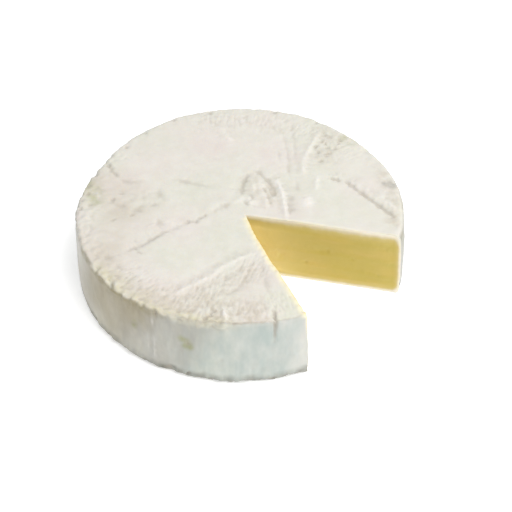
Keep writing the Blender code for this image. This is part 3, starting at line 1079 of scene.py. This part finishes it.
rindTints = (
    # attribute, colour, least and most strength, size of its mottling per metre
    ("frontTone", "beige", 0.1, 1, 260),
    ("pebbleTone", "beige", 0.1, 0.65, 260),
    ("patchTone", "beige", 0, 0.6, 240),
    ("rightRimTone", "beige", 0, 0.9, 200),
    ("leftTone", "beige", 0.25, 0.85, 60),
    # the side's and the back's tints: partly the rind's own colour, partly painted shade
    ("backGreyAndShade", "grey", 0.3, 0.75, 34),
    ("backTanAndShade", "tan", -0.35, 0.7, 26),
    # painted shadow under the rim on the back
    ("backRimShadow", "olive", -0.4, 0.8, 50),
    ("coolTintAndShade", "cool", 0.6, 1, 110),
    ("greyTintAndShade", "grey", 0.5, 0.9, 90),
    ("tanTintAndShade", "tan", 0.66, 0.9, 60),
    ("tanRimAndShade", "tan", 0.2, 0.75, 110),
    ("paleRim", "pale", 0.3, 0.9, 170),
    ("creamTint", "cream", 0.3, 1, 320),
    # painted shadow under the rim's beads
    ("oliveRimShadow", "olive", 0.15, 0.72, 170),
    # painted shade along the rim at the front
    ("rimShadowLine", "fold", 0.15, 0.9, 240),
    ("creamZone", "beige", 0.25, 0.85, 170),
    ("frontLight", "light", 0.3, 0.8, 150),
    ("yellowSpot", "moss", 0.1, 0.9, 200),
    ("greenSpot", "moss", 0.1, 0.9, 200),
    ("stain", "stain", 0.5, 1, 260),
    ("smallStain", "stain", 0.2, 0.8, 260),
    ("rightSpot", "grey", 0, 0.8, 260),
    ("footShadow", "foot", 0.4, 0.95, 200),
    # painted shade in the dent at the base
    ("baseDentShade", "deep", 0.5, 1, 300),
    # cut edges: pale rind with a painted glow
    ("frontEdge", "edge", 0.8, 1, 300),
    ("goldEdge", "gold", 0.2, 0.7, 420),
    ("archTone", "beige", 0.1, 0.7, 230),
    ("cornerEdge", "edge", 0.8, 1, 200),
    ("rightEdge", "edge", 0.2, 0.5, 200),
    # thick bloom and a painted highlight along the ridges
    ("bloom", "bloomAndHighlight", 0.4, 1, 300),
)


def makeRind():
    material, tree, shader = newMaterial("bloomyRind")
    look = rindLook
    colour = rampNode(tree, noiseNode(tree, look["patchSize"], 2.0), look["patches"])
    mottle = rangeNode(tree, noiseNode(tree, *look["mottle"]), 0.40, 0.65, 0.0, 0.45)
    colour = mixNode(tree, mottle, colour, look["bloom"])
    for attribute, name, least, most, size in rindTints:
        mottling = noiseNode(tree, size, 3.0, 0.6, look["tintStretch"])
        strength = rangeNode(tree, mottling, 0.35, 0.65, least, most)
        strength = mathNode(tree, "MULTIPLY", attributeNode(tree, attribute), strength)
        colour = mixNode(tree, strength, colour, look[name])
    # painted shade: creases darken towards the fold colour
    line = mathNode(tree, "MULTIPLY", attributeNode(tree, "creaseShade"), look["creaseShadeStrength"])
    colour = mixNode(tree, line, colour, look["fold"])
    # painted shade in hollows
    hollowShade = rangeNode(tree, attributeNode(tree, "hollowShade"), 0.05, 0.95, 0.0, look["hollowShadeStrength"])
    colour = mixNode(tree, hollowShade, colour, look["fold"])
    tree.links.new(colour, shader.inputs["Base Color"])

    rough = rangeNode(tree, noiseNode(tree, look["dullSize"]), 0.3, 0.7, *look["roughness"])
    tree.links.new(rough, shader.inputs["Roughness"])
    setSockets(shader, look["surface"])
    addBump(tree, shader, *look["nap"])
    return material


pasteLook = {
    "layers": (
        (0.00, tone(235, 230, 218)), (0.15, tone(233, 225, 204)), (0.29, tone(215, 202, 164)),
        (0.42, tone(203, 185, 117)), (0.65, tone(196, 176, 90)), (1.00, tone(190, 170, 76)),
    ),
    "fullDepth": 9.0,     # mm from the rind to the ripe middle
    "surface": {
        "Subsurface Weight": 0.25, "Subsurface Radius": (1.0, 0.75, 0.35), "Subsurface Scale": 0.003,
    },
    "grain": (0.4 * mm, 380.0, 4.0, 0.6),
    "edgeDrift": 0.05,    # how uneven the layers are
    "edgeSize": 160.0,
    "warmSize": 45.0,
    "dullSize": 120.0,
    "roughness": (0.36, 0.52),
    "warm": tone(206, 178, 94),
    # painted light colour for the paste near the tip
    "tip": tone(236, 217, 150),
}


def makePaste():
    material, tree, shader = newMaterial("ripePaste")
    look = pasteLook
    rindDepth = attributeNode(tree, "rindDepth")
    depth = rangeNode(tree, rindDepth, 0.0, look["fullDepth"])
    drift = look["edgeDrift"]
    uneven = rangeNode(tree, noiseNode(tree, look["edgeSize"]), 0.3, 0.7, -drift, drift)
    colour = rampNode(tree, mathNode(tree, "ADD", depth, uneven), look["layers"])
    warm = rangeNode(tree, noiseNode(tree, look["warmSize"], stretch=(1, 1, 3)), 0.45, 0.70, 0.0, 0.5)
    inner = rangeNode(tree, rindDepth, 3.0, 8.0)
    colour = mixNode(tree, mathNode(tree, "MULTIPLY", warm, inner), colour, look["warm"])
    # painted light: the paste brightens near the tip, in the notch's corner
    bright = mathNode(tree, "MULTIPLY", attributeNode(tree, "nearTip"), inner)
    colour = mixNode(tree, bright, colour, look["tip"])
    tree.links.new(colour, shader.inputs["Base Color"])
    dull = noiseNode(tree, look["dullSize"], stretch=(1, 1, 0.2))
    rough = rangeNode(tree, dull, 0.3, 0.7, *look["roughness"])
    tree.links.new(rough, shader.inputs["Roughness"])
    setSockets(shader, look["surface"])
    addBump(tree, shader, *look["grain"])
    return material


print("making the materials")
wheel.data.materials.append(makeRind())
wheel.data.materials.append(makePaste())
for face in wheel.data.polygons:
    if len(face.vertices) <= 4 and all(onCut[i] for i in face.vertices):
        face.material_index = 1

# smooth all over, with a crisp line where the paste meets the rind
onlyActive(wheel)
bpy.ops.object.shade_smooth()
bpy.ops.object.mode_set(mode="EDIT")
bpy.ops.mesh.select_mode(type="FACE")
bpy.ops.mesh.select_all(action="DESELECT")
wheel.active_material_index = 1
bpy.ops.object.material_slot_select()
bpy.ops.mesh.region_to_loop()
bpy.ops.mesh.mark_sharp()
bpy.ops.mesh.select_mode(type="VERT")
bpy.ops.mesh.select_all(action="DESELECT")
bpy.ops.object.mode_set(mode="OBJECT")

# into the model's own box
coords = readCoords(wheel)
low, high = coords.min(axis=0), coords.max(axis=0)
boxLow, boxHigh = np.array(cadLow), np.array(cadHigh)
scale = (boxHigh - boxLow) / (high - low)
print("fitted to the box by", scale.round(4))
writeCoords(wheel, (coords - low) * scale + boxLow)

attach(wheel, "root")
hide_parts("brie_wheel")


# floor, light and camera

print("setting the stage")
stageLook = {
    "floor": tone(250, 250, 250),
    "worldColour": (0.97, 0.985, 1.0, 1.0),
    "worldStrength": 0.51,
    "floorGlow": 0.40,
    "key": {"location": (0.54, -0.52, 1.42), "size": 1.2, "power": 19.8},
}
bpy.ops.object.select_all(action="DESELECT")
bpy.ops.mesh.primitive_plane_add(size=8.0, location=(0, 0, 0))
floor = bpy.context.active_object
floor.name = "paleFloor"
floorMaterial, tree, shader = newMaterial("paleFloor")
setSockets(shader, {"Roughness": 0.9, "Base Color": stageLook["floor"]})
setSockets(shader, {"Emission Color": (1, 1, 1, 1), "Emission Strength": stageLook["floorGlow"]})
floor.data.materials.append(floorMaterial)

world = bpy.data.worlds.new("studio")
world.use_nodes = True
background = world.node_tree.nodes["Background"]
setSockets(background, {"Color": stageLook["worldColour"], "Strength": stageLook["worldStrength"]})
bpy.context.scene.world = world

lamp = stageLook["key"]
bpy.ops.object.light_add(type="AREA", location=lamp["location"])
light = bpy.context.active_object
light.name = "key"
light.data.size = lamp["size"]
light.data.energy = lamp["power"]
light.rotation_euler = (-Vector(lamp["location"])).to_track_quat("-Z", "Y").to_euler()

cameraPlace = {
    "location": (-0.0685, -0.9302, 0.8853),
    "tilt": 46.77,
    "turn": -4.7,
    "roll": -0.58,
    "lens": 169.6,
}
bpy.ops.object.camera_add(
    location=cameraPlace["location"],
    rotation=(radians(cameraPlace["tilt"]), 0, radians(cameraPlace["turn"])),
)
camera = bpy.context.active_object
camera.rotation_euler.rotate_axis("Z", radians(cameraPlace["roll"]))
camera.data.lens = cameraPlace["lens"]
camera.data.sensor_width = 36.0
bpy.context.scene.camera = camera
bpy.context.scene.view_settings.view_transform = "Standard"
